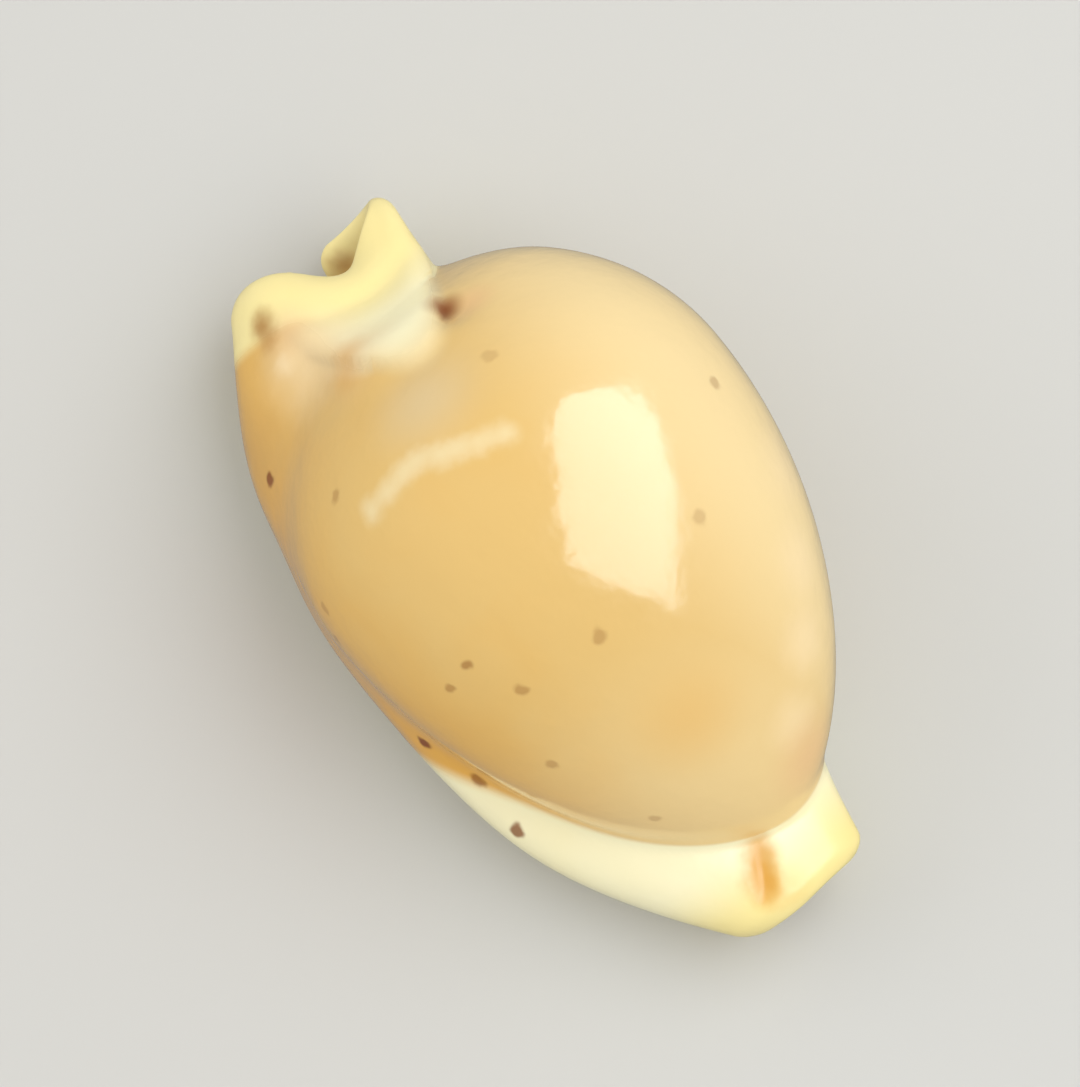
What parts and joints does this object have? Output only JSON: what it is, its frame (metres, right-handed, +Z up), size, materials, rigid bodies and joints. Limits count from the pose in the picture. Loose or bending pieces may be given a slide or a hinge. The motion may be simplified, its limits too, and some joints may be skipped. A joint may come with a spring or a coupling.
{
  "type": "cowrie shell",
  "caption": "Small glossy globular cowrie shell, domed and hollow, with a beaked canal at each end and a narrow toothed slit along its flattened base.",
  "frame": {"origin": "middle of the bounding box, on the resting plane", "axes": "+Z up from the base, +Y along the slit towards the hind (spire) beak, +X towards the inner-lip side; the outer lip faces -X"},
  "size_m": [0.0104, 0.018, 0.0091],
  "materials": {
    "shell": "glossy, porcelain-like natural glaze"
  },
  "bodies": {
    "root": {"cowrie_shell": "shell"}
  },
  "joints": []
}
